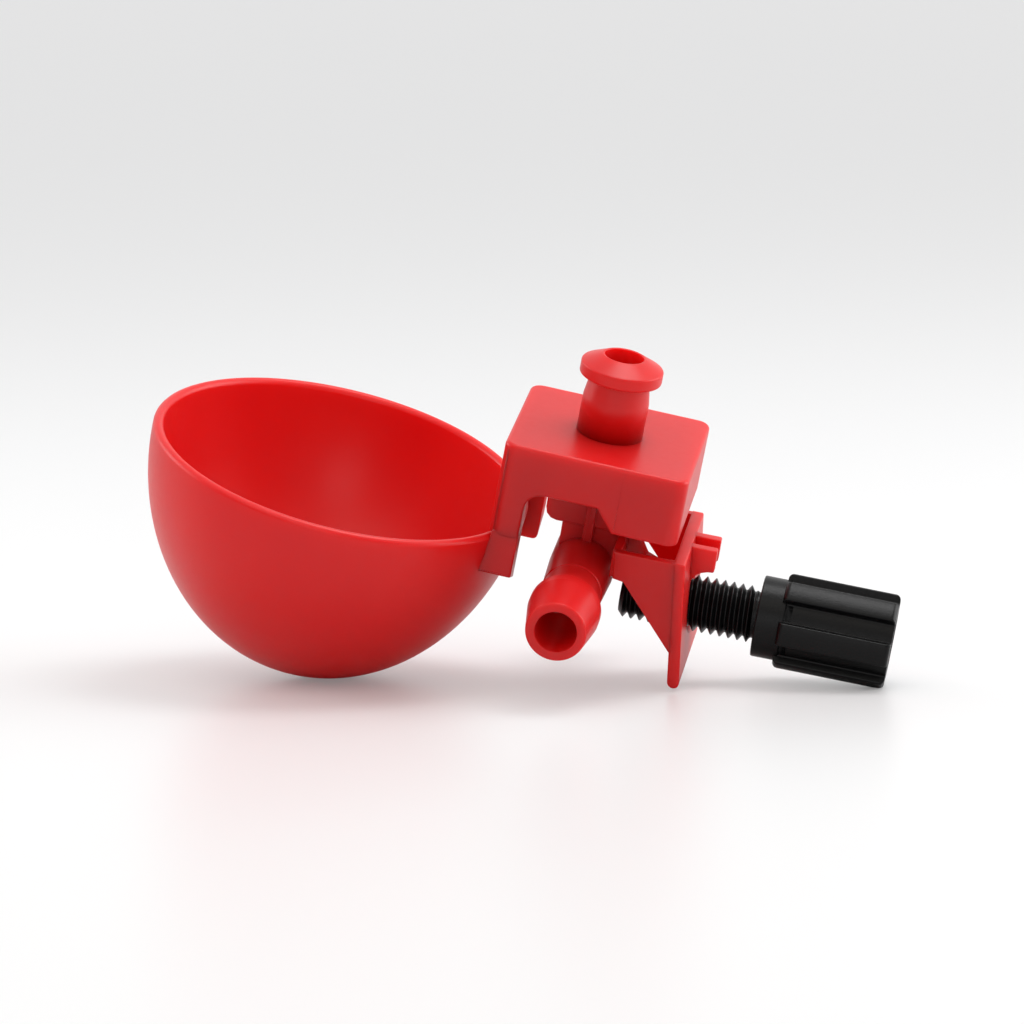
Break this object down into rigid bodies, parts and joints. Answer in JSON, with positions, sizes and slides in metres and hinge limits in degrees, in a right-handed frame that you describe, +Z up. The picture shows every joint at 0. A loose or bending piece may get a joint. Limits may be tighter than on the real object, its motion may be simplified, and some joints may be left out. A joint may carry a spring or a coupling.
{
  "type": "float water cup",
  "caption": "Rocking drinking cup for small livestock on a barbed hose tee, with a thumb screw that clamps it to a cage.",
  "frame": {"origin": "point where the axis of the thumb screw meets the outer face of the clamp plate", "axes": "+X along the screw towards its grip, Y along the hose tube, +Z up"},
  "size_m": [0.127, 0.0656, 0.0648],
  "materials": {
    "red_plastic": "semi-gloss moulded red plastic",
    "black_plastic": "satin black moulded plastic with a fine grain",
    "seal_rubber": "soft matt rubber",
    "spring_steel": "drawn wire"
  },
  "bodies": {
    "fitting": {"tee_fitting": "red_plastic", "return_spring": "spring_steel"},
    "cup": {"drinking_cup": "red_plastic", "valve_seal": "seal_rubber"},
    "screw": {"thumb_screw": "black_plastic"}
  },
  "joints": [
    {"name": "cup_rock", "type": "hinge", "parent": "fitting", "child": "cup", "pos_m": [-0.0084, 0, 0.0182], "axis": [0, -1, 0], "range_deg": [0, 4.5], "stiffness_Nm_per_rad": 0.1, "springref_deg": -8.59, "deforming": ["return_spring"]},
    {"name": "screw_clamp", "type": "slide", "parent": "fitting", "child": "screw", "axis": [1, 0, 0], "range_m": [-0.0015, 0.006]}
  ]
}
